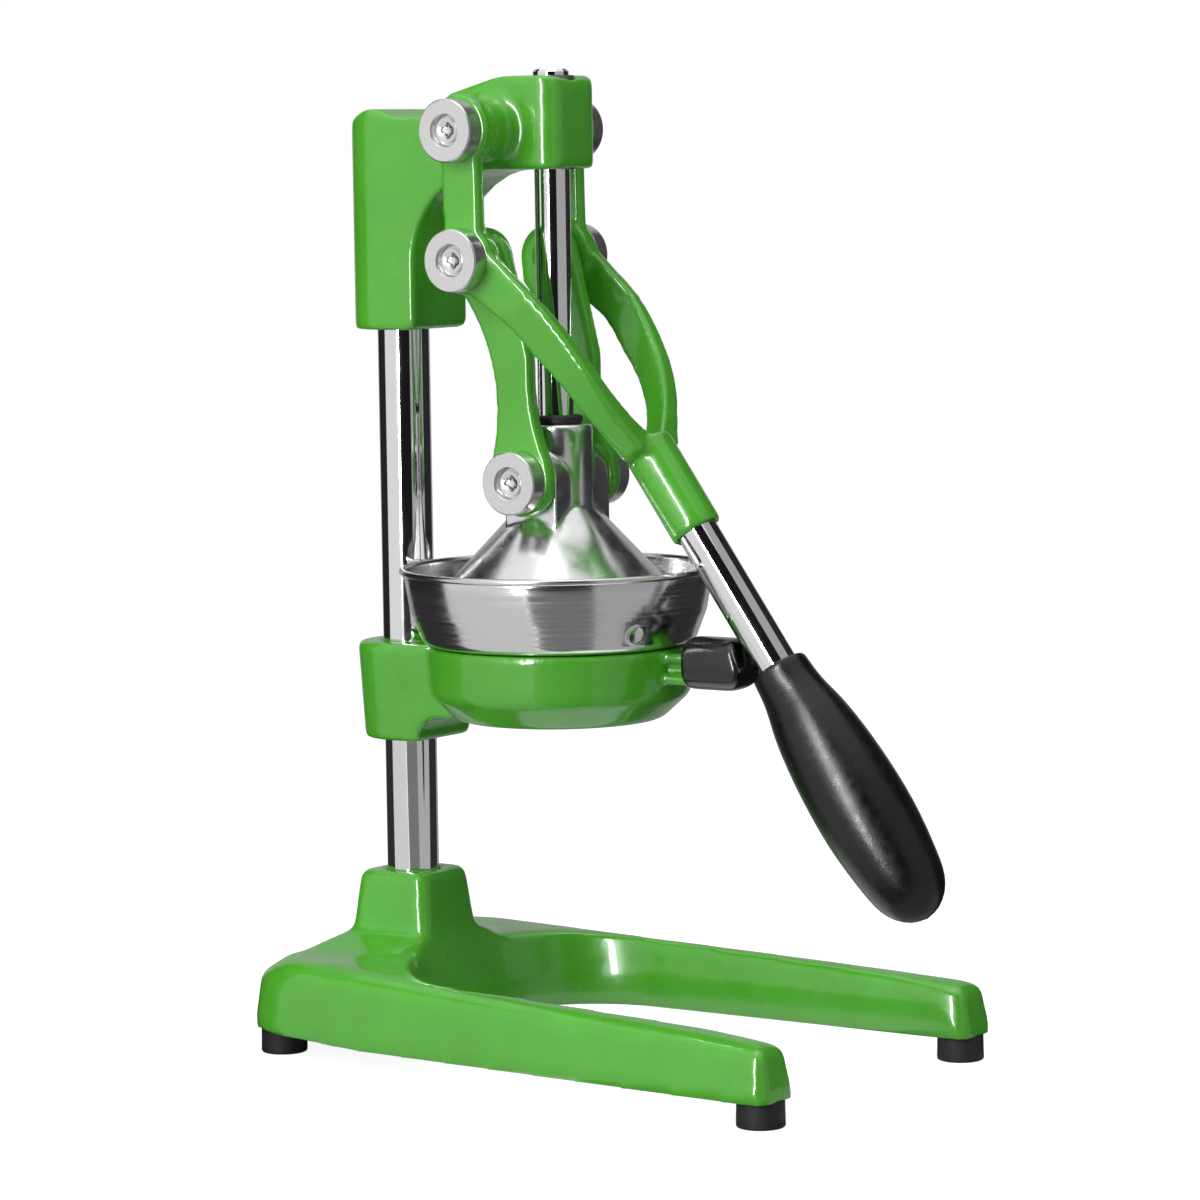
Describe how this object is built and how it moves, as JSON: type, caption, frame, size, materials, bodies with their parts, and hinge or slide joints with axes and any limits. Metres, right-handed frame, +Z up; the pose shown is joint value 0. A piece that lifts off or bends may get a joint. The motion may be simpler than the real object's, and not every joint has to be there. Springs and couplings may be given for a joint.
{
  "type": "lever citrus juice press",
  "caption": "Free-standing lever citrus press: cast stand and head on a column, forked lever with links, press cone over a reamer and juice bowl.",
  "frame": {"origin": "on the table under the middle of the object's box; the press axis stands 30 mm behind it", "axes": "+Z up from the table, +X forward to the handle, +Y to the left"},
  "size_m": [0.2867, 0.172, 0.3885],
  "materials": {
    "green_paint": "bright green gloss stove enamel on a casting, with a faint orange peel",
    "chrome": "polished chrome plate",
    "satin_steel": "satin turned steel with bright edges",
    "bright_steel": "bright zinc plated screws and washers",
    "stainless": "polished stainless sheet, brushed around",
    "cast_aluminium": "polished cast aluminium",
    "bush_bronze": "sintered bronze",
    "black_oxide": "black oxide set screws",
    "black_rubber": "matt black rubber",
    "stop_rubber": "glossy black moulded rubber",
    "grip_plastic": "black moulded grip with a fine matt grain"
  },
  "bodies": {
    "frame": {"base": "green_paint", "rubber_foot_rear_right": "black_rubber", "rubber_foot_rear_left": "black_rubber", "rubber_foot_front_right": "black_rubber", "rubber_foot_front_left": "black_rubber", "foot_screws": "bright_steel", "column": "chrome", "column_bolt": "bright_steel", "column_washer": "bright_steel", "head": "green_paint", "guide_bush": "bush_bronze", "head_set_screws": "black_oxide", "lever_axle": "bright_steel", "lever_axle_caps": "satin_steel", "lever_axle_screws": "bright_steel", "holder": "green_paint", "holder_set_screws": "black_oxide", "bumper": "stop_rubber", "bowl": "stainless", "strainer": "stainless"},
    "lever": {"lever": "green_paint", "handle_tube": "chrome", "grip": "grip_plastic", "link_pins": "bright_steel", "link_pin_caps": "satin_steel", "link_pin_screws": "bright_steel"},
    "press": {"press_cone": "cast_aluminium", "guide_rod": "chrome", "rod_screw": "bright_steel", "rod_buffer": "black_rubber", "press_pins": "bright_steel", "press_pin_caps": "satin_steel", "press_pin_screws": "bright_steel"},
    "links": {"link_right": "green_paint", "link_left": "green_paint"}
  },
  "joints": [
    {"name": "lever_pivot", "type": "hinge", "parent": "frame", "child": "lever", "pos_m": [-0.0486, 0, 0.3652], "axis": [0, -1, 0], "range_deg": [0, 110]},
    {"name": "press_slide", "type": "slide", "parent": "frame", "child": "press", "axis": [0, 0, 1], "range_m": [0, 0.0712]},
    {"name": "link_pivot", "type": "hinge", "parent": "press", "child": "links", "pos_m": [-0.03, 0, 0.22942], "axis": [0, -1, 0], "range_deg": [-30, 0]}
  ],
  "couplings": [
    {"joint": "press_slide", "follows": "lever_pivot", "m_per_rad": 0.036929},
    {"joint": "link_pivot", "follows": "lever_pivot", "ratio": -0.27028}
  ]
}
